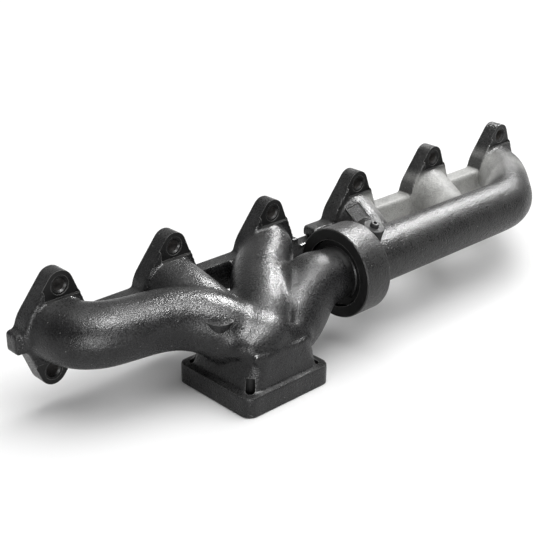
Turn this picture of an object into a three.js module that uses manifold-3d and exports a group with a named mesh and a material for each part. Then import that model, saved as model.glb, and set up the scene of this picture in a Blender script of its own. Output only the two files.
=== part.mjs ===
// Two-piece exhaust manifold for an in-line six-cylinder engine, in millimetres, +Z up.
// The front section feeds cylinders 1 to 3 into a divided turbo flange. The rear section is a log
// for cylinders 4 to 6, whose collar slides on the front section's spigot over three split rings.
// Origin: centre of the turbo flange's gasket face. +X runs along the engine, from cylinder 1 to
// cylinder 6, and +Y points at the cylinder head.
import * as THREE from "three";
import { mergeVertices } from "three/addons/utils/BufferGeometryUtils.js";
import Module from "manifold-3d";

const wasm = await Module();
wasm.setup();

// ---- Driving dimensions ----
const PORT_PITCH = 120; // cylinder spacing
const PORT_1_X = -148;
const PORT_Z = 73.5; // port centres and log axis above the turbo flange's face
const HEAD_FACE_Y = 95;
const LUG_FACE_Y = 80; // where the bolt heads sit
const FLANGE_FRONT_Y = 77; // the flanges between their bolt seats

const BOLT_OFFSET = new THREE.Vector2(6, 37.5); // upper bolt from its port centre; the lower is opposite
const BOLT_HOLE_R = 5.3;
const SEAT_HALF_X = 17; // wider than the lug, so that its whole front is flat
const SEAT_START = 26.6; // from the port centre, up or down
const SEAT_CUT_Y = 73; // how far the seat's step runs out over the runner
const LUG_R = 13;
const FLANGE_MIDDLE_R = 32;

const RAIL_TOP_Z = 77.5; // the bar that ties the port flanges together
const FRONT_RAIL_BOTTOM_Z = 48;
const FRONT_TONGUE_BOTTOM_Z = 55;
const REAR_RAIL_BOTTOM_Z = 50;
const STUB_TOP_Z = 79; // the stub beyond port 1
const STUB_BOTTOM_Z = 60.5;
const STUB_LEFT_X = -187;
const LAP_Z = 66.7; // the two rails pass each other in a half lap here
const LAP_GAP = 0.4;
const FRONT_RAIL_END_X = 134;
const FRONT_TONGUE_END_X = 168;
const REAR_TONGUE_START_X = 155;
const REAR_RAIL_START_X = 176;

const RUNNER_R = 28;
const RUNNER_3_R = 26.5; // slimmer, to pass the collar
const SPIGOT_ROOT_R = 28.5; // where the spigot's tube leaves the collector
const RUNNER_BORE_R = 21;
const LOG_R = 26.2;
const LOG_BORE_R = 20.5;
const SIDE_RUNNER_R = 23; // runners 4 and 5, which dip before they meet the log
const SIDE_BORE_R = 18;

const PLATE_X = 98; // turbo flange
const PLATE_Y = 95;
const PLATE_THICK = 18.5;
const PLATE_CORNER_R = 9;
const STUD_HOLE_R = 4.25;
const STUD_X = 38;
const STUD_Y = 37;
const STUD_DRILL_DEPTH = 31;
const GAS_PORT_HALF_X = 14; // each of the two openings in the turbo flange
const GAS_PORT_HALF_Y = 27;
const GAS_PORT_CENTRE_X = 17.5;
const CHAMBER_TOP_Z = 44;
const DIVIDER_THICK = 7;

const NECK_BOTTOM_X = 88;
const NECK_BOTTOM_Y = 86;
const NECK_TOP_Z = 48;
const NECK_TAPER_X = 0.2;
const NECK_TAPER_Y = 0.06;

const COLLAR_R = 42.6;
const COLLAR_START_X = 100;
const COLLAR_END_X = 131;
const SOCKET_R = 32;
const SOCKET_END_X = 127;
const LAND_R = 31.2; // the spigot's ring land
const LAND_START_X = 103;
const SPIGOT_END_X = 122;
const SPIGOT_NECK_R = 24.5;
const GROOVE_R = 28;
const GROOVE_WIDTH = 3.2;
const RING_FIRST_X = 106;
const RING_STEP_X = 5;
const RING_OUTER_R = 31.7;
const RING_INNER_R = 28.4;
const RING_THICK = 2.6;
const RING_GAP_DEG = 5;
const RING_FIRST_GAP_DEG = 215; // the rings' gaps are staggered by a third of a turn
const RINGS = 3;

const PROBE_X = 138; // probe port beside the collar, leaning away from the head
const PROBE_LEAN_DEG = 18;
const PROBE_BOSS_R = 10;
const PROBE_BOSS_TOP = 42.4; // from the log axis
const PROBE_HOLE_R = 4.3;
const PLUG_R = 3.9;
const PLUG_LENGTH = 11;
const PLUG_PROUD = 4;
const PLUG_SOCKET_R = 2.2;
const PLUG_SOCKET_DEPTH = 4;

const TUBE_SEGMENTS = 9; // three.js makes a circle of twice as many sides
const BORE_SEGMENTS = 6;
const ROUND_SEGMENTS = 6;
const CYLINDER_SIDES = 20;
const RING_SIDES = 32;

const portX = (cylinder) => PORT_1_X + (cylinder - 1) * PORT_PITCH;

// ---- Materials ----
const castIron = new THREE.MeshStandardMaterial({ color: 0x2f3032, roughness: 0.45, metalness: 0.85 });
const castIronRear = new THREE.MeshStandardMaterial({ color: 0x3a3b3c, roughness: 0.55, metalness: 0.8 });
const ringSteel = new THREE.MeshStandardMaterial({ color: 0x77777a, roughness: 0.35, metalness: 0.95 });
const plugSteel = new THREE.MeshStandardMaterial({ color: 0x4a4a4c, roughness: 0.4, metalness: 0.9 });

// ---- Solids ----
function solid(geometry) {
  const bare = geometry.clone();
  bare.deleteAttribute("normal");
  bare.deleteAttribute("uv");
  const merged = mergeVertices(bare, 1e-3);
  return new wasm.Manifold(
    new wasm.Mesh({
      numProp: 3,
      vertProperties: new Float32Array(merged.attributes.position.array),
      triVerts: new Uint32Array(merged.index.array),
    }),
  );
}

function geometryOf(manifold) {
  const mesh = manifold.getMesh();
  const geometry = new THREE.BufferGeometry();
  geometry.setAttribute("position", new THREE.BufferAttribute(new Float32Array(mesh.vertProperties), 3));
  geometry.setIndex(new THREE.BufferAttribute(new Uint32Array(mesh.triVerts), 1));
  geometry.computeVertexNormals();
  return geometry;
}

const joined = (solids) => solids.reduce((sum, next) => sum.add(next));

// A box from its lowest to its highest corner.
function block([x0, y0, z0], [x1, y1, z1]) {
  const geometry = new THREE.BoxGeometry(x1 - x0, y1 - y0, z1 - z0);
  return solid(geometry.translate((x0 + x1) / 2, (y0 + y1) / 2, (z0 + z1) / 2));
}

// A round bar, or a cone if the two radii differ, from one point to another.
function bar(from, to, r0, r1 = r0, sides = CYLINDER_SIDES) {
  const a = new THREE.Vector3(...from);
  const b = new THREE.Vector3(...to);
  const way = b.clone().sub(a);
  const geometry = new THREE.CylinderGeometry(r1, r0, way.length(), sides);
  const turn = new THREE.Quaternion().setFromUnitVectors(new THREE.Vector3(0, 1, 0), way.normalize());
  const middle = a.add(b).multiplyScalar(0.5);
  return solid(geometry.applyQuaternion(turn).translate(middle.x, middle.y, middle.z));
}

// A round tube of one radius along a smooth curve through the points.
function tube(points, radius, steps, segments = TUBE_SEGMENTS) {
  const path = new THREE.CatmullRomCurve3(points.map((p) => new THREE.Vector3(...p)), false, "centripetal");
  const section = new THREE.Shape();
  section.absarc(0, 0, radius, 0, 2 * Math.PI);
  const geometry = new THREE.ExtrudeGeometry(section, {
    extrudePath: path,
    steps,
    curveSegments: segments,
    bevelEnabled: false,
  });
  return solid(geometry);
}

function roundedRectangle(width, height, radius) {
  const shape = new THREE.Shape();
  const [w, h] = [width / 2 - radius, height / 2 - radius];
  shape.absarc(w, h, radius, 0, Math.PI / 2);
  shape.absarc(-w, h, radius, Math.PI / 2, Math.PI);
  shape.absarc(-w, -h, radius, Math.PI, 1.5 * Math.PI);
  shape.absarc(w, -h, radius, 1.5 * Math.PI, 2 * Math.PI);
  return shape;
}

// ---- Port flanges and rails ----
// The outline is drawn in X and Z about the port centre: a large circle, a lug circle at each bolt
// and the straight tangents between them.
function flangeOutline() {
  const reach = BOLT_OFFSET.length();
  const up = BOLT_OFFSET.angle();
  const spread = Math.acos((FLANGE_MIDDLE_R - LUG_R) / reach);
  const shape = new THREE.Shape();
  for (const end of [up, up + Math.PI]) {
    shape.absarc(Math.cos(end) * reach, Math.sin(end) * reach, LUG_R, end - spread, end + spread);
    shape.absarc(0, 0, FLANGE_MIDDLE_R, end + spread, end + Math.PI - spread);
  }
  for (const side of [1, -1]) {
    const hole = new THREE.Path();
    hole.absarc(side * BOLT_OFFSET.x, side * BOLT_OFFSET.y, BOLT_HOLE_R, 0, 2 * Math.PI);
    shape.holes.push(hole);
  }
  return shape;
}

function portFlange(cylinder) {
  const geometry = new THREE.ExtrudeGeometry(flangeOutline(), {
    depth: HEAD_FACE_Y - FLANGE_FRONT_Y,
    curveSegments: ROUND_SEGMENTS,
    bevelEnabled: false,
  });
  geometry.rotateX(Math.PI / 2).translate(portX(cylinder), HEAD_FACE_Y, PORT_Z);
  return solid(geometry);
}

// Removed after the runners are joined on, so that a runner never fills a bolt's seat or hole.
function boltClearances(cylinder) {
  const cuts = [];
  for (const side of [1, -1]) {
    const [x, z] = [portX(cylinder) + side * BOLT_OFFSET.x, PORT_Z + side * BOLT_OFFSET.y];
    const [near, far] = [PORT_Z + side * SEAT_START, PORT_Z + side * 60];
    cuts.push(bar([x, HEAD_FACE_Y + 1, z], [x, 55, z], BOLT_HOLE_R, BOLT_HOLE_R, 2 * ROUND_SEGMENTS));
    const [low, high] = [Math.min(near, far), Math.max(near, far)];
    cuts.push(block([x - SEAT_HALF_X, SEAT_CUT_Y, low], [x + SEAT_HALF_X, LUG_FACE_Y, high]));
  }
  return cuts;
}

// Everything past the cylinder head's face, where the runners' ends are faced off.
const beyondHeadFace = () => block([-400, HEAD_FACE_Y, -50], [600, HEAD_FACE_Y + 40, 250]);

const rail = (x0, x1, z0, z1) => block([x0, LUG_FACE_Y, z0], [x1, HEAD_FACE_Y, z1]);

// ---- Front section ----
const runner1Path = [
  [portX(1), HEAD_FACE_Y - 1, PORT_Z],
  [portX(1), 76, PORT_Z],
  [portX(1) + 6, 58, PORT_Z],
  [portX(1) + 21, 45, PORT_Z],
  [-104, 38.5, PORT_Z],
  [-80, 34, PORT_Z],
  [-57, 27, 71],
  [-38, 15, 65],
  [-24, 4, 55],
  [-13, -1, 44],
];
const runner2Path = [
  [portX(2), HEAD_FACE_Y - 1, PORT_Z],
  [portX(2), 74, PORT_Z],
  [portX(2) + 1, 50, 68],
  [-22, 26, 57],
  [-18, 8, 42],
];
const runner3Path = [
  [portX(3), HEAD_FACE_Y - 1, PORT_Z],
  [portX(3) - 3, 80, PORT_Z],
  [74, 66, 72],
  [50, 46, 69],
  [28, 20, 64],
  [11, 0, 54],
  [4, -8, 38],
];
const spigotPath = [
  [COLLAR_START_X - 4, 0, PORT_Z],
  [84, 0, 71.5],
  [73, 0, 66.5],
  [61, 0, 58],
  [42, 0, 44],
  [25, 0, 30],
];
const spigotRootPath = [
  [77, 3, 69],
  [61, 5, 62],
  [43, 4, 48.5],
  [26, 2, 34],
];

function neck() {
  const height = NECK_TOP_Z - PLATE_THICK + 1;
  const geometry = new THREE.ExtrudeGeometry(roundedRectangle(NECK_BOTTOM_X, NECK_BOTTOM_Y, 15), {
    depth: height,
    curveSegments: ROUND_SEGMENTS,
    bevelEnabled: false,
  });
  // The neck narrows upwards in X, and on the head's side in Y.
  const position = geometry.attributes.position;
  for (let i = 0; i < position.count; i++) {
    const share = position.getZ(i) / height;
    const narrowing = NECK_TAPER_Y * share;
    position.setX(i, position.getX(i) * (1 - NECK_TAPER_X * share));
    position.setY(i, position.getY(i) * (1 - narrowing) - (narrowing * NECK_BOTTOM_Y) / 2);
  }
  return solid(geometry.translate(0, 0, PLATE_THICK - 1));
}

function collectorDome() {
  const geometry = new THREE.SphereGeometry(1, 20, 12).rotateX(Math.PI / 2).scale(35, 38, 22);
  return solid(geometry.translate(-2, -5, 47));
}

function turboPlate() {
  return solid(
    new THREE.ExtrudeGeometry(roundedRectangle(PLATE_X, PLATE_Y, PLATE_CORNER_R), {
      depth: PLATE_THICK,
      curveSegments: ROUND_SEGMENTS,
      bevelEnabled: false,
    }),
  );
}

// Revolves [radius, x] points about the log axis.
function axisLathe(profile) {
  const points = profile.map(([r, x]) => new THREE.Vector2(r, x));
  const geometry = new THREE.LatheGeometry(points, RING_SIDES).rotateZ(-Math.PI / 2);
  geometry.translate(0, 0, PORT_Z);
  return solid(geometry);
}

function spigotOutside() {
  const profile = [
    [0, COLLAR_START_X - 18],
    [SPIGOT_NECK_R, COLLAR_START_X - 18],
    [SPIGOT_NECK_R, LAND_START_X - 6],
    [SPIGOT_NECK_R + 2, LAND_START_X - 2.5],
    [LAND_R, LAND_START_X],
    [LAND_R, SPIGOT_END_X],
    [0, SPIGOT_END_X],
  ];
  return axisLathe(profile);
}

const ringX = (ring) => RING_FIRST_X + ring * RING_STEP_X;

function ringGroove(ring) {
  const [x0, x1] = [ringX(ring) - GROOVE_WIDTH / 2, ringX(ring) + GROOVE_WIDTH / 2];
  const outside = bar([x0, 0, PORT_Z], [x1, 0, PORT_Z], LAND_R + 2, LAND_R + 2, RING_SIDES);
  return outside.subtract(bar([x0 - 1, 0, PORT_Z], [x1 + 1, 0, PORT_Z], GROOVE_R, GROOVE_R, RING_SIDES));
}

function gasPort(side) {
  const x = side * GAS_PORT_CENTRE_X;
  return block(
    [x - GAS_PORT_HALF_X, -GAS_PORT_HALF_Y, -1],
    [x + GAS_PORT_HALF_X, GAS_PORT_HALF_Y, CHAMBER_TOP_Z],
  );
}

const studHole = (x, y) => bar([x, y, -1], [x, y, STUD_DRILL_DEPTH], STUD_HOLE_R, STUD_HOLE_R, 12);

function frontCasting() {
  const cylinders = [1, 2, 3];
  const outside = joined([
    turboPlate(),
    neck(),
    collectorDome(),
    tube(runner1Path, RUNNER_R, 18),
    tube(runner2Path, RUNNER_R, 8),
    tube(runner3Path, RUNNER_3_R, 12),
    tube(spigotPath, SPIGOT_NECK_R, 8),
    tube(spigotRootPath, SPIGOT_ROOT_R, 5),
    spigotOutside(),
    bar([-43, -3, 66], [-43, -3, 77], 6, 13), // half-moon pad on runner 1
    ...cylinders.map(portFlange),
    rail(STUB_LEFT_X, portX(1), STUB_BOTTOM_Z, STUB_TOP_Z),
    rail(portX(1), FRONT_RAIL_END_X, FRONT_RAIL_BOTTOM_Z, RAIL_TOP_Z),
    rail(FRONT_RAIL_END_X - 1, FRONT_TONGUE_END_X, FRONT_TONGUE_BOTTOM_Z, LAP_Z - LAP_GAP),
  ]);
  const bores = joined([
    tube([[portX(1), HEAD_FACE_Y + 5, PORT_Z], ...runner1Path], RUNNER_BORE_R, 12, BORE_SEGMENTS),
    tube([[portX(2), HEAD_FACE_Y + 5, PORT_Z], ...runner2Path], RUNNER_BORE_R, 5, BORE_SEGMENTS),
    tube([[portX(3), HEAD_FACE_Y + 5, PORT_Z], ...runner3Path], RUNNER_BORE_R - 2, 7, BORE_SEGMENTS),
    tube([[SPIGOT_END_X + 5, 0, PORT_Z], ...spigotPath], RUNNER_BORE_R - 2, 7, BORE_SEGMENTS),
    gasPort(-1),
    gasPort(1),
  ]);
  const wall = block([-DIVIDER_THICK / 2, -34, 0], [DIVIDER_THICK / 2, 34, 62]).intersect(outside);
  const drilled = joined([
    ...cylinders.flatMap(boltClearances),
    ...[0, 1, 2].map(ringGroove),
    studHole(-STUD_X, -STUD_Y),
    studHole(-STUD_X, STUD_Y),
    studHole(STUD_X, -STUD_Y),
    studHole(STUD_X, STUD_Y),
  ]);
  return outside.subtract(beyondHeadFace()).subtract(bores).add(wall).subtract(drilled);
}

// ---- Rear section ----
const logPath = [
  [COLLAR_END_X - 6, 0, PORT_Z],
  [220, 0, PORT_Z],
  [348, 0, PORT_Z],
  [367, 3, PORT_Z],
  [383, 11, PORT_Z],
  [403, 27, PORT_Z],
  [424, 45, PORT_Z],
  [440, 61, PORT_Z],
  [portX(6) - 3, 77, PORT_Z],
  [portX(6), HEAD_FACE_Y - 1, PORT_Z],
];
const sideRunner = (cylinder, endY) => [
  [portX(cylinder), endY, PORT_Z],
  [portX(cylinder), 77, PORT_Z],
  [portX(cylinder) - 6, 56, 68],
  [portX(cylinder) - 22, 30, 65],
  [portX(cylinder) - 38, 4, 67],
];

// Distance along the probe port's own axis, from the log axis.
function onProbeAxis(distance) {
  const lean = THREE.MathUtils.degToRad(PROBE_LEAN_DEG);
  return [PROBE_X, -Math.sin(lean) * distance, PORT_Z + Math.cos(lean) * distance];
}

function rearCasting() {
  const cylinders = [4, 5, 6];
  const outside = joined([
    tube(logPath, LOG_R, 24),
    tube(sideRunner(4, HEAD_FACE_Y - 1), SIDE_RUNNER_R, 7),
    tube(sideRunner(5, HEAD_FACE_Y - 1), SIDE_RUNNER_R, 7),
    bar([COLLAR_START_X, 0, PORT_Z], [COLLAR_END_X, 0, PORT_Z], COLLAR_R, COLLAR_R, RING_SIDES),
    bar(onProbeAxis(22), onProbeAxis(PROBE_BOSS_TOP), PROBE_BOSS_R),
    ...cylinders.map(portFlange),
    rail(REAR_RAIL_START_X, portX(6), REAR_RAIL_BOTTOM_Z, RAIL_TOP_Z),
    rail(REAR_TONGUE_START_X, REAR_RAIL_START_X + 1, LAP_Z, RAIL_TOP_Z),
  ]);
  const bores = joined([
    tube([...logPath, [portX(6), HEAD_FACE_Y + 5, PORT_Z]], LOG_BORE_R, 16, BORE_SEGMENTS),
    tube(sideRunner(4, HEAD_FACE_Y + 5), SIDE_BORE_R, 6, BORE_SEGMENTS),
    tube(sideRunner(5, HEAD_FACE_Y + 5), SIDE_BORE_R, 6, BORE_SEGMENTS),
    bar([COLLAR_START_X - 1, 0, PORT_Z], [SOCKET_END_X, 0, PORT_Z], SOCKET_R, SOCKET_R, RING_SIDES),
    bar(onProbeAxis(5), onProbeAxis(PROBE_BOSS_TOP + 1), PROBE_HOLE_R, PROBE_HOLE_R, 16),
  ]);
  const bolts = joined(cylinders.flatMap(boltClearances));
  return outside.subtract(beyondHeadFace()).subtract(bores).subtract(bolts);
}

// ---- Loose pieces ----
// A split ring, drawn flat about its own axis with the gap centred on angle 0.
function sealRing() {
  const half = THREE.MathUtils.degToRad(RING_GAP_DEG) / 2;
  const shape = new THREE.Shape();
  shape.absarc(0, 0, RING_OUTER_R, half, 2 * Math.PI - half);
  shape.absarc(0, 0, RING_INNER_R, 2 * Math.PI - half, half, true);
  const geometry = new THREE.ExtrudeGeometry(shape, {
    depth: RING_THICK,
    curveSegments: RING_SIDES / 2,
    bevelEnabled: false,
  });
  return geometry.translate(0, 0, -RING_THICK / 2);
}

// A socket-head pipe plug along its own +Y, with the boss's face at y = 0.
function probePlug() {
  const shank = solid(new THREE.CylinderGeometry(PLUG_R, PLUG_R, PLUG_LENGTH, 16));
  const placed = shank.translate([0, PLUG_PROUD - PLUG_LENGTH / 2, 0]);
  const socket = solid(new THREE.CylinderGeometry(PLUG_SOCKET_R, PLUG_SOCKET_R, 2 * PLUG_SOCKET_DEPTH, 6));
  return placed.subtract(socket.translate([0, PLUG_PROUD, 0]));
}

// ---- Assembly ----
const manifold = new THREE.Group();

function place(name, geometry, material) {
  const mesh = new THREE.Mesh(geometry, material);
  mesh.name = name;
  manifold.add(mesh);
  return mesh;
}

place("front_casting", geometryOf(frontCasting()), castIron);
place("rear_casting", geometryOf(rearCasting()), castIronRear);

for (let ring = 0; ring < RINGS; ring++) {
  const mesh = place(`seal_ring_${ring + 1}`, sealRing(), ringSteel);
  mesh.position.set(ringX(ring), 0, PORT_Z);
  mesh.rotation.set(THREE.MathUtils.degToRad(RING_FIRST_GAP_DEG + ring * 120), Math.PI / 2, 0, "XYZ");
}

const plug = place("probe_port_plug", geometryOf(probePlug()), plugSteel);
plug.position.set(...onProbeAxis(PROBE_BOSS_TOP));
plug.rotation.x = Math.PI / 2 + THREE.MathUtils.degToRad(PROBE_LEAN_DEG);

export default manifold;
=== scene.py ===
import math

import bmesh
import bpy
from mathutils import Matrix, Vector


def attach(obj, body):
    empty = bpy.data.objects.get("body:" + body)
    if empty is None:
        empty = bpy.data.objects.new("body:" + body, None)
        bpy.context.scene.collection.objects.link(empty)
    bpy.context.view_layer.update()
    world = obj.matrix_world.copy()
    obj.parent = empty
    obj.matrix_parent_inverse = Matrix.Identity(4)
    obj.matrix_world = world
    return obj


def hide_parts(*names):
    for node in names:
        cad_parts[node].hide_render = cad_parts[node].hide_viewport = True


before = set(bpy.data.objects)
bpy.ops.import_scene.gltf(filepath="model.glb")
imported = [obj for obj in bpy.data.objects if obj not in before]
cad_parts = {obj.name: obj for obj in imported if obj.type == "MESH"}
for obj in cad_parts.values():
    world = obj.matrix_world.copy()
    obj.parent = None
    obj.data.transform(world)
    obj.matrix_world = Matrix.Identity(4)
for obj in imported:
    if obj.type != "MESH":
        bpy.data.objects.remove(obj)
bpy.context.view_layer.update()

# ---- Sizes, in millimetres, in the part's own frame ----
MM = 0.001
PORT_X = [-148, -28, 92, 212, 332, 452]
PORT_Z = 73.5
SEAT_Y = 80
FLANGE_FRONT_Y = 77
HEAD_FACE_Y = 95
BOLT_DX = 6
BOLT_DZ = 37.5
LUG_R = 13
FLANGE_MIDDLE_R = 32
BOLT_HOLE_R = 5.3
SEAT_HALF_X = 17
SEAT_START = 26.6
SEAT_CUT_Y = 73
SPOTFACE_R = 8.6
SPOTFACE_DEPTH = 0.6
SEAT_REACH = 60
RAIL_TOP_Z = 77.5
FRONT_RAIL_BOTTOM_Z = 48
FRONT_TONGUE_BOTTOM_Z = 55
REAR_RAIL_BOTTOM_Z = 50
RAIL_BACK_Y = HEAD_FACE_Y + 4
LAP_Z = 66.7
LAP_GAP = 0.4
COLLAR_R = 42.6
COLLAR_X = (100, 131)
SOCKET_R = 32
SOCKET_END_X = 127
LAND_R = 31.2
LAND_X = (103, 122)
GROOVE_R = 28
GROOVE_WIDTH = 3.2
RING_X = (106, 111, 116)
PLATE = (98, 95, 18.5)
PLATE_CORNER_R = 9
STUD_X = 38
STUD_Y = 37
STUD_HOLE_R = 4.25
PROBE_X = 138
PROBE_LEAN = math.radians(18)
PROBE_TOP = 42.4
PROBE_BOSS_R = 10
PROBE_HOLE_R = 4.3
TUBE_SIDES = 40


# ---- Modelling helpers ----
def deselect_all():
    for other in bpy.context.selected_objects:
        other.select_set(False)


def make_active(piece):
    deselect_all()
    piece.hide_set(False)
    piece.select_set(True)
    bpy.context.view_layer.objects.active = piece


def bake_place(piece):
    """Puts the object's place into its mesh, so that the object sits at the origin."""
    make_active(piece)
    bpy.ops.object.transform_apply(location=True, rotation=True, scale=True)
    return piece


def name_new(name):
    piece = bpy.context.active_object
    piece.name = name
    piece.data.name = name
    return piece


def apply_modifier(piece, kind, **settings):
    make_active(piece)
    modifier = piece.modifiers.new(kind.lower(), kind)
    for key, value in settings.items():
        setattr(modifier, key, value)
    bpy.ops.object.modifier_apply(modifier=modifier.name)


def join(name, pieces):
    make_active(pieces[0])
    for piece in pieces[1:]:
        piece.select_set(True)
    bpy.ops.object.join()
    return name_new(name)


def smooth_curve(points, steps):
    """A Catmull-Rom line through tuples of any length: position first, then radii."""
    rows = [Vector(p) for p in points]
    ends = [rows[0] * 2 - rows[1], *rows, rows[-1] * 2 - rows[-2]]
    line = []
    for i in range(1, len(ends) - 2):
        a, b, c, d = ends[i - 1 : i + 3]
        for k in range(steps):
            t = k / steps
            line.append(
                0.5
                * (
                    b * 2
                    + (c - a) * t
                    + (a * 2 - b * 5 + c * 4 - d) * t**2
                    + (b * 3 - a - c * 3 + d) * t**3
                )
            )
    line.append(rows[-1])
    return line


def swept(name, points, steps=4, sides=TUBE_SIDES):
    """A closed tube skinned over rings. Each point is (x, y, z, radius) or (x, y, z, width, height)."""
    line = smooth_curve([(*p, p[3]) if len(p) == 4 else p for p in points], steps)
    centres = [Vector(p[:3]) for p in line]
    deselect_all()
    for i, (centre, row) in enumerate(zip(centres, line)):
        way = centres[min(i + 1, len(line) - 1)] - centres[max(i - 1, 0)]
        turn = way.to_track_quat("Z", "Y").to_euler()
        bpy.ops.mesh.primitive_circle_add(
            vertices=sides,
            radius=row[3] * MM,
            location=centre * MM,
            rotation=turn,
        )
        if i == 0:
            bpy.ops.object.mode_set(mode="EDIT")
            bpy.ops.mesh.select_mode(type="VERT")
        squash = row[4] / row[3]
        if abs(squash - 1) > 0.001:
            bpy.ops.transform.resize(value=(1, 1, squash), center_override=centre * MM)
    mesh = bmesh.from_edit_mesh(bpy.context.edit_object.data)
    for i in range(len(line) - 1):
        for vertex in mesh.verts:
            vertex.select = i * sides <= vertex.index < (i + 2) * sides
        mesh.select_flush_mode()
        for edge in mesh.edges:
            edge.select = all(v.select for v in edge.verts)
        bpy.ops.mesh.bridge_edge_loops()
        mesh = bmesh.from_edit_mesh(bpy.context.edit_object.data)
        mesh.verts.index_update()
    bpy.ops.mesh.select_all(action="SELECT")
    bpy.ops.mesh.fill_holes(sides=0)
    bpy.ops.mesh.select_all(action="SELECT")
    bpy.ops.mesh.normals_make_consistent(inside=False)
    bpy.ops.object.mode_set(mode="OBJECT")
    return bake_place(name_new(name))


def round_bar(name, start, end, radius, end_radius=None, sides=48, edge=0.0):
    """A turned bar or cone between two points, its rims bevelled."""
    a, b = Vector(start) * MM, Vector(end) * MM
    deselect_all()
    bpy.ops.mesh.primitive_cone_add(
        vertices=sides,
        radius1=radius * MM,
        radius2=(radius if end_radius is None else end_radius) * MM,
        depth=(b - a).length,
        location=(a + b) / 2,
        rotation=(b - a).to_track_quat("Z", "Y").to_euler(),
    )
    piece = bake_place(name_new(name))
    if edge:
        apply_modifier(
            piece, "BEVEL", width=edge * MM, segments=3, limit_method="ANGLE", angle_limit=math.radians(50)
        )
    return piece


def slab(name, low, high, edge=0.0, taper=None):
    """A block between two corners. Taper (x, y, shift x, shift y) scales and moves its top face."""
    a, b = Vector(low) * MM, Vector(high) * MM
    deselect_all()
    bpy.ops.mesh.primitive_cube_add(size=1, location=(a + b) / 2, scale=b - a)
    piece = bake_place(name_new(name))
    if taper:
        bpy.ops.object.mode_set(mode="EDIT")
        mesh = bmesh.from_edit_mesh(piece.data)
        for vertex in mesh.verts:
            vertex.select = vertex.co.z > (a.z + b.z) / 2
        mesh.select_flush_mode()
        top = Vector(((a.x + b.x) / 2, (a.y + b.y) / 2, b.z))
        bpy.ops.transform.resize(value=(taper[0], taper[1], 1), center_override=top)
        bpy.ops.transform.translate(value=(taper[2] * MM, taper[3] * MM, 0))
        bpy.ops.object.mode_set(mode="OBJECT")
    if edge:
        apply_modifier(
            piece, "BEVEL", width=edge * MM, segments=4, limit_method="ANGLE", angle_limit=math.radians(40)
        )
    return piece


def upright_rounded(piece, radius, segments=6):
    """Rounds a block's four upright edges."""
    make_active(piece)
    bpy.ops.object.mode_set(mode="EDIT")
    bpy.ops.mesh.select_mode(type="EDGE")
    mesh = bmesh.from_edit_mesh(piece.data)
    for edge in mesh.edges:
        a, b = (v.co for v in edge.verts)
        edge.select = abs(a.z - b.z) > 3 * max(abs(a.x - b.x), abs(a.y - b.y))
    bpy.ops.mesh.bevel(offset=radius * MM, segments=segments, affect="EDGES")
    bpy.ops.object.mode_set(mode="OBJECT")
    return piece


def fuse(name, pieces, voxel, rounds):
    """Melts overlapping pieces into one casting and softens it, which leaves fillets at the joins."""
    piece = join(name, pieces)
    apply_modifier(piece, "REMESH", mode="VOXEL", voxel_size=voxel * MM, use_smooth_shade=True)
    apply_modifier(piece, "SMOOTH", factor=0.5, iterations=rounds)
    return piece


def combine(piece, tool, operation, finish=None):
    """Joins or cuts with a tool, and the new faces take the tool's finish."""
    tool.data.materials.clear()
    tool.data.materials.append(finish or piece.data.materials[0])
    apply_modifier(
        piece, "BOOLEAN", operation=operation, solver="MANIFOLD", material_mode="TRANSFER", object=tool
    )
    bpy.data.objects.remove(tool)


def add(piece, tool, finish=None):
    combine(piece, tool, "UNION", finish)


def cut(piece, tool, finish=None):
    combine(piece, tool, "DIFFERENCE", finish)


# ---- Port flanges ----
def port_flange(cylinder):
    """The plate of one port: the hull of a round middle and a lug at each bolt."""
    x = PORT_X[cylinder]
    y0, y1 = FLANGE_FRONT_Y, RAIL_BACK_Y
    middle = round_bar("middle", (x, y0, PORT_Z), (x, y1, PORT_Z), FLANGE_MIDDLE_R)
    lugs = [
        round_bar(
            "lug",
            (x + side * BOLT_DX, y0, PORT_Z + side * BOLT_DZ),
            (x + side * BOLT_DX, y1, PORT_Z + side * BOLT_DZ),
            LUG_R,
            sides=32,
        )
        for side in (1, -1)
    ]
    plate = join("port_flange", [middle, *lugs])
    bpy.ops.object.mode_set(mode="EDIT")
    bpy.ops.mesh.select_all(action="SELECT")
    bpy.ops.mesh.convex_hull()
    bpy.ops.object.mode_set(mode="OBJECT")
    return plate


def drill_bolt_holes(piece, cylinders):
    for cylinder in cylinders:
        for side in (1, -1):
            x, z = PORT_X[cylinder] + side * BOLT_DX, PORT_Z + side * BOLT_DZ
            floor_y = SEAT_Y + SPOTFACE_DEPTH
            near, far = sorted((PORT_Z + side * SEAT_START, PORT_Z + side * SEAT_REACH))
            seat = slab("seat", (x - SEAT_HALF_X, SEAT_CUT_Y, near), (x + SEAT_HALF_X, SEAT_Y, far))
            cut(piece, seat, seat_finish)
            cut(piece, round_bar("spotface", (x, floor_y, z), (x, 55, z), SPOTFACE_R), seat_finish)
            cut(piece, round_bar("hole", (x, HEAD_FACE_Y + 5, z), (x, 60, z), BOLT_HOLE_R), bore_finish)
            cut(
                piece,
                round_bar("chamfer", (x, floor_y + 1.6, z), (x, floor_y - 0.4, z), BOLT_HOLE_R - 0.3, 7.3),
                seat_finish,
            )


def mill_head_face(piece, low_x, high_x):
    cut(piece, slab("mill", (low_x, HEAD_FACE_Y, -20), (high_x, HEAD_FACE_Y + 30, 180)), ground_finish)


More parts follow.
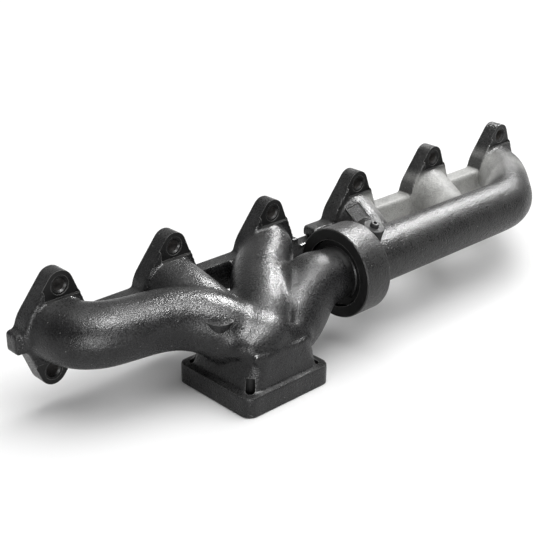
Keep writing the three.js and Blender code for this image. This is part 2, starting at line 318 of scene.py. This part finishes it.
# ---- Front section ----
RUNNER_1 = [
    (-148, 96, 73.5, 31),
    (-148, 84, 73.5, 30),
    (-148, 76, 73.5, 28.5),
    (-142, 58, 73.5, 28.5),
    (-127, 45, 73.5, 28),
    (-104, 38.5, 73.5, 27),
    (-80, 34, 73.5, 27),
    (-57, 27, 71, 27.5),
    (-38, 15, 65, 28),
    (-24, 4, 55, 28),
    (-13, -1, 44, 27),
]
RUNNER_2 = [
    (-28, 96, 73.5, 31),
    (-28, 84, 73.5, 30),
    (-28, 74, 73.5, 28),
    (-27, 50, 68, 28),
    (-22, 26, 57, 28),
    (-18, 8, 44, 27),
]
RUNNER_3 = [
    (92, 96, 73.5, 30),
    (91, 86, 73.5, 29),
    (88, 79, 73.5, 27),
    (74, 66, 72, 26.5),
    (50, 46, 69, 27.5),
    (28, 20, 64, 29),
    (11, 0, 54, 29.5),
    (4, -8, 40, 28),
]
SPIGOT = [
    (101, 0, 73.5, 24.6),
    (96, 0, 73.6, 24.8),
    (88, 1, 73.4, 25.8),
    (77, 3, 71, 28.5),
    (61, 3, 62.5, 31),
    (44, -2, 51, 31.5),
    (28, -6, 41, 30),
]


WEB = [
    (60, 15, 91, 2.2),
    (48, 2, 88.5, 3),
    (35.5, -9.5, 78.2, 3.2),
    (27, -17, 70.6, 3.2),
    (16, -28, 63, 2.4),
]


def neck():
    piece = slab("neck", (-44, -43, 12), (44, 43, 49), taper=(0.79, 0.92, -0.5, -2.5))
    return upright_rounded(piece, 14)


def shoulder():
    """The lower part of the collector, above the neck."""
    piece = slab("shoulder", (-36, -42.6, 43), (36, 38, 62), taper=(0.86, 0.8, -3, 2))
    return upright_rounded(piece, 14)


def parting_ledge():
    piece = slab("parting_ledge", (-35.4, -41.8, 47.8), (9, 4, 50.2), taper=(0.95, 0.96, -0.5, 0.5))
    return upright_rounded(piece, 13)


def turbo_plate():
    width, depth, thick = PLATE
    piece = slab("plate", (-width / 2, -depth / 2 + 0.1, -5), (width / 2, depth / 2, thick))
    return upright_rounded(piece, PLATE_CORNER_R)


def bulge(middle, radii):
    """An egg-shaped fill inside the collector."""
    deselect_all()
    place = Vector(middle) * MM
    bpy.ops.mesh.primitive_uv_sphere_add(segments=32, ring_count=20, radius=MM, location=place)
    bpy.ops.transform.resize(value=radii)
    return bake_place(name_new("bulge"))


def lathe_on_log(name, profile, sides=96):
    """Turned about the log axis from (radius, x) points, spun from one edge line."""
    deselect_all()
    bpy.ops.mesh.primitive_plane_add(size=MM, location=(0, 0, 0))
    piece = name_new(name)
    bpy.ops.object.mode_set(mode="EDIT")
    bpy.ops.mesh.select_all(action="SELECT")
    bpy.ops.mesh.merge(type="CENTER")
    mesh = bmesh.from_edit_mesh(piece.data)
    mesh.verts.ensure_lookup_table()
    mesh.verts[0].co = Vector((profile[0][1], 0, PORT_Z + profile[0][0])) * MM
    mesh.verts[0].select = True
    previous = Vector((profile[0][1], 0, profile[0][0]))
    for r, x in profile[1:]:
        step = Vector((x, 0, r)) - previous
        bpy.ops.mesh.extrude_vertices_move(TRANSFORM_OT_translate={"value": step * MM})
        previous = Vector((x, 0, r))
    bpy.ops.mesh.select_all(action="SELECT")
    bpy.ops.mesh.spin(
        steps=sides, angle=2 * math.pi, center=(0, 0, PORT_Z * MM), axis=(1, 0, 0), use_auto_merge=True
    )
    bpy.ops.mesh.select_all(action="SELECT")
    bpy.ops.mesh.remove_doubles(threshold=0.00002)
    bpy.ops.mesh.normals_make_consistent(inside=False)
    bpy.ops.object.mode_set(mode="OBJECT")
    return bake_place(piece)


def piston_end():
    """The machined end of the spigot: a flare, a ring land and its grooves."""
    half = GROOVE_WIDTH / 2
    start, end = LAND_X
    neck_end = [(0, 90), (24, 90), (24.6, 96), (24.8, 102), (25.6, start)]
    profile = [*neck_end, (LAND_R - 0.6, start), (LAND_R, start + 0.6)]
    for x in RING_X:
        profile += [(LAND_R, x - half), (GROOVE_R, x - half), (GROOVE_R, x + half), (LAND_R, x + half)]
    profile += [(LAND_R, end - 0.8), (LAND_R - 0.8, end), (0, end)]
    return lathe_on_log("piston_end", profile)


def passage(mouth, inner, radius):
    """A gas passage of one radius: straight in at its mouth, then along the inner points."""
    return swept("passage", [*[(*p, radius) for p in mouth], *[(*p[:3], radius) for p in inner]], 3, 32)


def front_section():
    body = fuse(
        "front_body",
        [
            swept("runner_1", RUNNER_1),
            swept("runner_2", RUNNER_2),
            swept("runner_3", RUNNER_3),
            swept("spigot", SPIGOT),
            bulge((-7, -6, 52), (33, 35, 25)),
            bulge((-20, -12, 52), (25, 26, 17)),
            shoulder(),
        ],
        2.2,
        24,
    )
    whole = fuse(
        "front_casting_skin",
        [
            body,
            parting_ledge(),
            swept("web", WEB),
            neck(),
            turbo_plate(),
            *[port_flange(i) for i in (0, 1, 2)],
            slab("stub", (-186.9, SEAT_Y, 60.5), (-150, RAIL_BACK_Y, 79)),
            slab("rail", (-150, SEAT_Y, FRONT_RAIL_BOTTOM_Z), (100, RAIL_BACK_Y, RAIL_TOP_Z)),
            slab("rail_end", (98, SEAT_Y, FRONT_RAIL_BOTTOM_Z), (134, RAIL_BACK_Y, 75)),
            slab("tongue", (120, SEAT_Y, FRONT_TONGUE_BOTTOM_Z), (168, RAIL_BACK_Y, LAP_Z - LAP_GAP)),
        ],
        1.8,
        4,
    )
    whole.data.materials.append(front_iron)
    pad = round_bar("pad", (-43, -4, 62), (-43, -4, 77.5), 6, 13.5, edge=0.8)
    add(whole, pad)
    add(whole, piston_end(), seat_finish)
    mill_head_face(whole, -250, 250)
    cut(whole, slab("mill", (-80, -80, -20), (80, 80, 0)), ground_finish)
    z = PORT_Z
    for tool in (
        passage([(-148, 105, z), (-148, 90, z)], RUNNER_1[2:], 21),
        passage([(-28, 105, z), (-28, 90, z)], RUNNER_2[2:], 21),
        passage([(92, 105, z), (92, 90, z)], RUNNER_3[2:], 19),
        passage([(126, 0, z), (105, 0, z)], SPIGOT[1:], 19),
        slab("opening", (-31.5, -27, -8), (-3.5, 27, 44), edge=4),
        slab("opening", (3.5, -27, -8), (31.5, 27, 44), edge=4),
    ):
        cut(whole, tool, bore_finish)
    add(whole, slab("divider", (-3.5, -34, 0.02), (3.5, 34, 56)), bore_finish)
    drill_bolt_holes(whole, (0, 1, 2))
    for x in (-STUD_X, STUD_X):
        for y in (-STUD_Y, STUD_Y):
            cut(whole, round_bar("stud", (x, y, -5), (x, y, 31), STUD_HOLE_R), seat_finish)
    return whole


# ---- Rear section ----
LOG = [
    (125, 0, 73.5, 26.2),
    (160, 0, 73.5, 26.2),
    (220, 0, 73.5, 26.2),
    (290, 0, 73.5, 26.2),
    (348, 0, 73.5, 26.2),
    (367, 3, 73.5, 26.2),
    (383, 11, 73.5, 26.2),
    (403, 27, 73.5, 26),
    (424, 45, 73.5, 26),
    (440, 61, 73.5, 26),
    (449, 77, 73.5, 27),
    (452, 85, 73.5, 29),
    (452, 96, 73.5, 30),
]


PANEL_MIDDLE = (197, 60, 90.7)


def side_runner(x):
    return [
        (x, 96, 73.5, 30),
        (x, 85, 73.5, 28.5),
        (x - 1, 76, 73, 26),
        (x - 6, 56, 68, 23.4),
        (x - 22, 30, 65, 23),
        (x - 38, 4, 69, 22.5),
    ]


def on_probe_axis(distance):
    return (PROBE_X, -math.sin(PROBE_LEAN) * distance, PORT_Z + math.cos(PROBE_LEAN) * distance)


def collar():
    """The slip joint's socket, with a chamfered mouth and a softer far rim."""
    start, end = COLLAR_X
    profile = [
        (0, start),
        (COLLAR_R - 0.9, start),
        (COLLAR_R, start + 0.9),
        (COLLAR_R, end - 2.4),
        (COLLAR_R - 0.7, end - 0.7),
        (COLLAR_R - 2.4, end),
        (0, end),
    ]
    return lathe_on_log("collar", profile, 128)


def tilted_slab(name, surface, size, sunk):
    """A slab on runner 4's upper left side, its top face sunk below the point on the surface."""
    up = Vector((-0.42, -0.3, 0.86)).normalized()
    side = Vector((-0.27, -0.93, -0.25)).cross(up).normalized()
    turn = Matrix((side, up.cross(side), up)).transposed().to_euler()
    middle = Vector(surface) - up * (sunk + size[2] / 2)
    deselect_all()
    bpy.ops.mesh.primitive_cube_add(
        size=1, location=middle * MM, rotation=turn, scale=[v * MM for v in size]
    )
    return bake_place(name_new(name))


def on_log_axis(x):
    return (x, 0, PORT_Z)


def rear_section():
    body = fuse(
        "rear_body",
        [swept("log", LOG), swept("runner_4", side_runner(212)), swept("runner_5", side_runner(332))],
        2.2,
        16,
    )
    whole = fuse(
        "rear_casting_skin",
        [
            body,
            *[port_flange(i) for i in (3, 4, 5)],
            slab("rail", (176, SEAT_Y - 2, REAR_RAIL_BOTTOM_Z), (452, RAIL_BACK_Y, RAIL_TOP_Z), edge=3),
            slab("tongue", (155, SEAT_Y - 1, LAP_Z), (195, RAIL_BACK_Y, RAIL_TOP_Z), edge=2.5),
        ],
        1.8,
        4,
    )
    whole.data.materials.append(rear_iron)
    boss = round_bar("boss", on_probe_axis(20), on_probe_axis(PROBE_TOP), PROBE_BOSS_R, edge=0.8)
    add(whole, tilted_slab("panel", PANEL_MIDDLE, (17, 25, 5), -0.1))
    cut(whole, tilted_slab("panel_recess", PANEL_MIDDLE, (13.4, 21, 4), -3.2))
    add(whole, collar())
    # the boss takes the darker painted-shade finish
    add(whole, boss, boss_shade_finish)
    mill_head_face(whole, 130, 520)
    face = slab("mill", (80, -60, 0), (COLLAR_X[0] + 0.02, 60, 160))
    cut(whole, face, seat_finish)
    socket = round_bar("socket", on_log_axis(95), on_log_axis(SOCKET_END_X), SOCKET_R, sides=128)
    cut(whole, socket, seat_finish)
    z = PORT_Z
    for tool in (
        passage([], [*LOG[:-2], (452, 90, z), (452, 105, z)], 20.5),
        passage([(212, 105, z), (212, 90, z)], side_runner(212)[2:], 18),
        passage([(332, 105, z), (332, 90, z)], side_runner(332)[2:], 18),
        round_bar("probe_hole", on_probe_axis(5), on_probe_axis(PROBE_TOP + 1), PROBE_HOLE_R),
    ):
        cut(whole, tool, bore_finish)
    drill_bolt_holes(whole, (3, 4, 5))
    return whole


# ---- Materials ----
def add_socket(tree, name, kind, direction, value=None):
    socket = tree.interface.new_socket(name=name, in_out=direction, socket_type=kind)
    if value is not None:
        socket.default_value = value
    return socket


def node(tree, kind, inputs=None, **settings):
    """A new node. An input is a number or colour, or another node's output."""
    made = tree.nodes.new(kind)
    for key, value in settings.items():
        setattr(made, key, value)
    for key, value in (inputs or {}).items():
        if isinstance(value, bpy.types.NodeSocket):
            tree.links.new(value, made.inputs[key])
        else:
            made.inputs[key].default_value = value
    return made


def ramp(tree, factor, stops):
    made = tree.nodes.new("ShaderNodeValToRGB")
    tree.links.new(factor, made.inputs["Fac"])
    elements = made.color_ramp.elements
    while len(elements) < len(stops):
        elements.new(0.5)
    for element, (position, colour) in zip(elements, stops):
        element.position = position
        element.color = (*colour, 1) if isinstance(colour, tuple) else (colour, colour, colour, 1)
    return made.outputs["Color"]


def mix(tree, factor, a, b, blend="MIX"):
    made = tree.nodes.new("ShaderNodeMix")
    made.data_type = "RGBA"
    made.blend_type = blend
    for index, value in ((0, factor), (6, a), (7, b)):
        if isinstance(value, bpy.types.NodeSocket):
            tree.links.new(value, made.inputs[index])
        else:
            made.inputs[index].default_value = value
    return made.outputs[2]


def sum_of(tree, a, b, operation="ADD"):
    return node(tree, "ShaderNodeMath", {0: a, 1: b}, operation=operation).outputs[0]


def cast_grain_group():
    """Sand-cast skin: fine grains, broader waves and scattered pits."""
    tree = bpy.data.node_groups.new("cast_grain", "ShaderNodeTree")
    add_socket(tree, "Grain Scale", "NodeSocketFloat", "INPUT", 620)
    add_socket(tree, "Wave Amount", "NodeSocketFloat", "INPUT", 1)
    add_socket(tree, "Pit Amount", "NodeSocketFloat", "INPUT", 0.5)
    for name in ("Height", "Grain", "Blotch", "Pits"):
        add_socket(tree, name, "NodeSocketFloat", "OUTPUT")
    inlet = tree.nodes.new("NodeGroupInput").outputs
    place = tree.nodes.new("ShaderNodeTexCoord").outputs["Object"]
    noise = "ShaderNodeTexNoise"
    fine = {"Vector": place, "Scale": inlet["Grain Scale"], "Detail": 4.0, "Roughness": 0.6}
    grain = node(tree, noise, fine)
    cells = node(tree, "ShaderNodeTexVoronoi", {"Vector": place, "Scale": inlet["Grain Scale"]})
    wave = node(tree, noise, {"Vector": place, "Scale": 95.0, "Detail": 2.0, "Roughness": 0.5})
    blotch = node(tree, noise, {"Vector": place, "Scale": 30.0, "Detail": 6.0, "Roughness": 0.65})
    pits = node(tree, "ShaderNodeTexVoronoi", {"Vector": place, "Scale": 240.0})
    where = node(tree, noise, {"Vector": place, "Scale": 55.0, "Detail": 3.0})
    few = ramp(tree, where.outputs["Fac"], [(0.55, 0), (0.66, 1)])
    pit = ramp(tree, pits.outputs["Distance"], [(0.12, 1), (0.34, 0)])
    pit = sum_of(tree, sum_of(tree, pit, few, "MULTIPLY"), inlet["Pit Amount"], "MULTIPLY")
    rough = sum_of(tree, sum_of(tree, cells.outputs["Distance"], 0.5, "MULTIPLY"), grain.outputs["Fac"])
    waves = sum_of(tree, sum_of(tree, wave.outputs["Fac"], inlet["Wave Amount"], "MULTIPLY"), 2.5, "MULTIPLY")
    height = sum_of(tree, sum_of(tree, rough, waves), sum_of(tree, pit, 1.4, "MULTIPLY"), "SUBTRACT")
    outlet = tree.nodes.new("NodeGroupOutput").inputs
    tree.links.new(height, outlet["Height"])
    tree.links.new(grain.outputs["Fac"], outlet["Grain"])
    tree.links.new(blotch.outputs["Fac"], outlet["Blotch"])
    tree.links.new(pit, outlet["Pits"])
    return tree


def edge_wear_group():
    """A mask of rubbed high edges, broken up by grain."""
    tree = bpy.data.node_groups.new("edge_wear", "ShaderNodeTree")
    add_socket(tree, "Grain", "NodeSocketFloat", "INPUT", 0.5)
    add_socket(tree, "Amount", "NodeSocketFloat", "INPUT", 0.5)
    add_socket(tree, "Radius", "NodeSocketFloat", "INPUT", 0.0014)
    add_socket(tree, "Mask", "NodeSocketFloat", "OUTPUT")
    inlet = tree.nodes.new("NodeGroupInput").outputs
    rounded = node(tree, "ShaderNodeBevel", {"Radius": inlet["Radius"]}, samples=6)
    flat = tree.nodes.new("ShaderNodeNewGeometry").outputs["Normal"]
    normals = {0: rounded.outputs["Normal"], 1: flat}
    across = node(tree, "ShaderNodeVectorMath", normals, operation="DOT_PRODUCT")
    edge = ramp(tree, across.outputs["Value"], [(0.74, 1), (0.9, 0)])
    broken = ramp(tree, inlet["Grain"], [(0.38, 0.15), (0.6, 1)])
    mask = sum_of(tree, sum_of(tree, edge, broken, "MULTIPLY"), inlet["Amount"], "MULTIPLY")
    tree.links.new(mask, tree.nodes.new("NodeGroupOutput").inputs["Mask"])
    return tree


def dust_group():
    """Pale specks and a thin film that settles on faces that look up."""
    tree = bpy.data.node_groups.new("dust", "ShaderNodeTree")
    add_socket(tree, "Blotch", "NodeSocketFloat", "INPUT", 0.5)
    add_socket(tree, "Film", "NodeSocketFloat", "INPUT", 0.1)
    add_socket(tree, "Specks", "NodeSocketFloat", "INPUT", 0.5)
    add_socket(tree, "Mask", "NodeSocketFloat", "OUTPUT")
    inlet = tree.nodes.new("NodeGroupInput").outputs
    coords = tree.nodes.new("ShaderNodeTexCoord").outputs
    up = node(tree, "ShaderNodeSeparateXYZ", {0: coords["Normal"]}).outputs["Z"]
    facing = ramp(tree, up, [(0.55, 0), (0.98, 1)])
    film = sum_of(tree, sum_of(tree, facing, inlet["Blotch"], "MULTIPLY"), inlet["Film"], "MULTIPLY")
    cells = node(tree, "ShaderNodeTexVoronoi", {"Vector": coords["Object"], "Scale": 85.0})
    speck = ramp(tree, cells.outputs["Distance"], [(0.035, 1), (0.06, 0)])
    speck = sum_of(tree, speck, inlet["Specks"], "MULTIPLY")
    tree.links.new(sum_of(tree, film, speck, "MAXIMUM"), tree.nodes.new("NodeGroupOutput").inputs["Mask"])
    return tree


GRAIN = cast_grain_group()
WEAR = edge_wear_group()
DUST = dust_group()


def group_node(tree, group, inputs):
    made = tree.nodes.new("ShaderNodeGroup")
    made.node_tree = group
    for key, value in inputs.items():
        if isinstance(value, bpy.types.NodeSocket):
            tree.links.new(value, made.inputs[key])
        else:
            made.inputs[key].default_value = value
    return made.outputs


def band(tree, value, start, end):
    """0 below start, 1 above end, in millimetres; the other way round when start is above end."""
    settings = {"Value": value, "From Min": start * MM, "From Max": end * MM}
    return node(tree, "ShaderNodeMapRange", settings, interpolation_type="SMOOTHSTEP").outputs["Result"]


def painted_sheen_share(tree, blotch):
    """Painted sheen on the rear casting: a lighter tone on the rail and the runners' roots behind the log,
    kept off left-facing flange edges, standing in for the light reflected there.
    """
    coords = tree.nodes.new("ShaderNodeTexCoord").outputs
    place = node(tree, "ShaderNodeSeparateXYZ", {0: coords["Object"]}).outputs
    sideways = node(tree, "ShaderNodeSeparateXYZ", {0: coords["Normal"]}).outputs["X"]
    share = band(tree, place["Y"], 10, 38)
    not_left_side = ramp(tree, sum_of(tree, sideways, 1.0), [(0.12, 0.15), (0.4, 1)])
    off_the_flanges = band(tree, place["Y"], 79, 75)
    for factor in (
        band(tree, place["Z"], 104, 92),
        band(tree, place["X"], 208, 232),
        band(tree, place["X"], 458, 425),
        sum_of(tree, not_left_side, off_the_flanges, "MAXIMUM"),
        ramp(tree, blotch, [(0.3, 0.6), (0.55, 1)]),
    ):
        share = sum_of(tree, share, factor, "MULTIPLY")
    return share


def iron_skin(
    name,
    dark,
    light,
    gloss,
    depth,
    grain=620.0,
    waves=1.0,
    pits=0.5,
    wear=0.6,
    film=0.1,
    metal=0.0,
    painted_sheen=None,
):
    """Oiled cast iron. dark and light are its blotches, gloss the roughness in each."""
    material = bpy.data.materials.new(name)
    material.use_nodes = True
    tree = material.node_tree
    shader = tree.nodes["Principled BSDF"].inputs
    skin = group_node(tree, GRAIN, {"Grain Scale": grain, "Wave Amount": waves, "Pit Amount": pits})
    rub = group_node(tree, WEAR, {"Grain": skin["Grain"], "Amount": wear})
    dust = group_node(tree, DUST, {"Blotch": skin["Blotch"], "Film": film, "Specks": film * 4})
    tone = ramp(tree, skin["Blotch"], [(0.36, dark), (0.66, light)])
    speck = ramp(tree, skin["Grain"], [(0.4, 0.55), (0.64, 1.5)])
    colour = mix(tree, 1.0, tone, speck, "MULTIPLY")
    roughness = ramp(tree, skin["Blotch"], [(0.34, gloss[0]), (0.68, gloss[1])])
    glitter = ramp(tree, skin["Grain"], [(0.38, 0.75), (0.62, 1.35)])
    roughness = mix(tree, 1.0, roughness, glitter, "MULTIPLY")
    # Painted sheen: a lighter, rougher tone on the rail and runner roots stands in for the light reflected
    # there.
    if painted_sheen:
        share = painted_sheen_share(tree, skin["Blotch"])
        painted_sheen_speck = ramp(tree, skin["Grain"], [(0.35, 0.8), (0.65, 1.15)])
        painted_sheen_tone = mix(tree, 1.0, (*painted_sheen, 1), painted_sheen_speck, "MULTIPLY")
        colour = mix(tree, share, colour, painted_sheen_tone)
        roughness = mix(tree, share, roughness, (0.62, 0.62, 0.62, 1))
    colour = mix(tree, dust["Mask"], colour, (0.3, 0.3, 0.29, 1))
    colour = mix(tree, rub["Mask"], colour, (0.42, 0.42, 0.41, 1))
    roughness = mix(tree, rub["Mask"], roughness, (0.34, 0.34, 0.34, 1))
    bump = node(tree, "ShaderNodeBump", {"Height": skin["Height"], "Distance": depth * MM, "Strength": 1.0})
    tree.links.new(colour, shader["Base Color"])
    tree.links.new(roughness, shader["Roughness"])
    tree.links.new(bump.outputs["Normal"], shader["Normal"])
    shader["Metallic"].default_value = metal
    shader["Specular IOR Level"].default_value = 0.3
    return material


front_iron = iron_skin(
    "front_iron",
    (0.006, 0.006, 0.0065),
    (0.018, 0.018, 0.0185),
    (0.25, 0.36),
    0.3,
    grain=680.0,
    waves=0.7,
    pits=0.8,
)
rear_iron = iron_skin(
    "rear_iron",
    (0.007, 0.007, 0.007),
    (0.019, 0.019, 0.0186),
    (0.3, 0.4),
    0.48,
    grain=600.0,
    waves=0.6,
    # painted sheen colour for the rail and runner roots
    painted_sheen=(0.4, 0.4, 0.385),
)
seat_finish = iron_skin(
    "seat_machined",
    (0.004, 0.004, 0.004),
    (0.009, 0.009, 0.009),
    (0.32, 0.5),
    0.05,
    grain=1200.0,
    waves=0.3,
    wear=0.7,
)
# Painted shade: the probe boss gets a darker, rougher copy of the iron, so its top face reads dark instead of
# catching the lamps.
boss_shade_finish = iron_skin(
    "boss_painted_shade",
    (0.004, 0.004, 0.004),
    (0.012, 0.012, 0.012),
    (0.6, 0.75),
    0.2,
    grain=900.0,
    waves=0.3,
    wear=0.4,
)
ground_finish = iron_skin(
    "face_ground",
    (0.14, 0.14, 0.14),
    (0.24, 0.24, 0.235),
    (0.3, 0.42),
    0.02,
    grain=1500.0,
    waves=0.2,
    pits=0.1,
    metal=0.9,
)
bore_finish = iron_skin(
    "bore_raw",
    (0.02, 0.017, 0.015),
    (0.05, 0.042, 0.036),
    (0.6, 0.8),
    0.35,
    grain=500.0,
    wear=0.2,
    film=0.0,
)
ring_finish = iron_skin(
    "ring_turned",
    (0.1, 0.1, 0.1),
    (0.16, 0.16, 0.16),
    (0.25, 0.35),
    0.02,
    grain=1400.0,
    waves=0.1,
    pits=0.1,
    metal=0.9,
)
plug_finish = iron_skin(
    "plug_black",
    (0.007, 0.007, 0.007),
    (0.018, 0.018, 0.018),
    (0.55, 0.7),
    0.05,
    grain=1400.0,
    waves=0.1,
    pits=0.1,
)


def probe_plug():
    """A socket-head plug: a chamfered shank with a hexagon socket sunk in its end."""
    top = PROBE_TOP + 4
    shank = round_bar("probe_plug", on_probe_axis(PROBE_TOP - 7), on_probe_axis(top), 3.9, edge=0.5)
    shank.data.materials.append(plug_finish)
    cut(shank, round_bar("key", on_probe_axis(top - 4), on_probe_axis(top + 2), 2.2, sides=6), plug_finish)
    return shank


front = front_section()
rear = rear_section()
for piece, body, cad_node, slot in (
    (front, "front_section", "front_casting", "front_iron"),
    (rear, "rear_section", "rear_casting", "rear_iron"),
    (probe_plug(), "rear_section", "probe_port_plug", "plug_steel"),
):
    make_active(piece)
    bpy.ops.object.shade_smooth_by_angle(angle=math.radians(35))
    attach(piece, body)
    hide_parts(cad_node)
    piece.data.calc_loop_triangles()
    print("TRIANGLES", piece.name, len(piece.data.loop_triangles))

for ring in ("seal_ring_1", "seal_ring_2", "seal_ring_3"):
    for material_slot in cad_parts[ring].material_slots:
        material_slot.material = ring_finish

# ---- Floor, light and camera ----
deselect_all()
bpy.ops.mesh.primitive_plane_add(size=30, location=(0, 0, -0.0006))
floor = name_new("floor")
paper = bpy.data.materials.new("floor_paper")
paper.use_nodes = True
paper.node_tree.nodes["Principled BSDF"].inputs["Base Color"].default_value = (0.86, 0.86, 0.86, 1)
paper.node_tree.nodes["Principled BSDF"].inputs["Roughness"].default_value = 0.9
floor.data.materials.append(paper)


def area_light(name, position, target, size, power, glint_only=False):
    data = bpy.data.lights.new(name, "AREA")
    data.shape = "SQUARE"
    data.size = size
    data.energy = power
    light = bpy.data.objects.new(name, data)
    bpy.context.scene.collection.objects.link(light)
    light.location = position
    light.rotation_euler = (Vector(target) - Vector(position)).to_track_quat("-Z", "Y").to_euler()
    light.visible_diffuse = not glint_only
    light.visible_camera = False


CAMERA_PLACE = (-0.5909, -0.6451, 0.5022)
CAMERA_TURN = -43.2  # degrees about Z, from looking along +Y
CAMERA_TILT = 24.1  # degrees below level
CAMERA_ROLL = 0.2
LENS = 76.15
FILM_WIDTH = 36

sky = bpy.data.lights.new("sky_panel", "SUN")
sky.energy = 2.7
sky.angle = math.radians(70)
sky_light = bpy.data.objects.new("sky_panel", sky)
bpy.context.scene.collection.objects.link(sky_light)
sky_light.rotation_euler = (math.radians(12), math.radians(14), 0)

area_light("glint_log", (0.83, 0.2, 0.78), (0.25, 0, 0.08), 0.26, 25, glint_only=True)
area_light("glint_runner", (-0.06, -0.38, 0.9), (-0.1, 0.03, 0.08), 0.24, 18, glint_only=True)
area_light("glint_front", (-0.8, -0.95, 0.12), (0, 0, 0.04), 0.5, 18, glint_only=True)

world = bpy.data.worlds.new("studio")
world.use_nodes = True
world.node_tree.nodes["Background"].inputs["Color"].default_value = (1, 1, 1, 1)
world.node_tree.nodes["Background"].inputs["Strength"].default_value = 0.42
bpy.context.scene.world = world
bpy.context.scene.view_settings.view_transform = "Standard"

camera_data = bpy.data.cameras.new("camera")
camera_data.lens = LENS
camera_data.sensor_width = FILM_WIDTH
camera_data.clip_start = 0.05
camera = bpy.data.objects.new("camera", camera_data)
bpy.context.scene.collection.objects.link(camera)
camera.location = CAMERA_PLACE
turn = Matrix.Rotation(math.radians(CAMERA_TURN), 3, "Z")
tilt = Matrix.Rotation(math.radians(90 - CAMERA_TILT), 3, "X")
roll = Matrix.Rotation(math.radians(CAMERA_ROLL), 3, "Z")
camera.rotation_euler = (turn @ tilt @ roll).to_euler()
bpy.context.scene.camera = camera
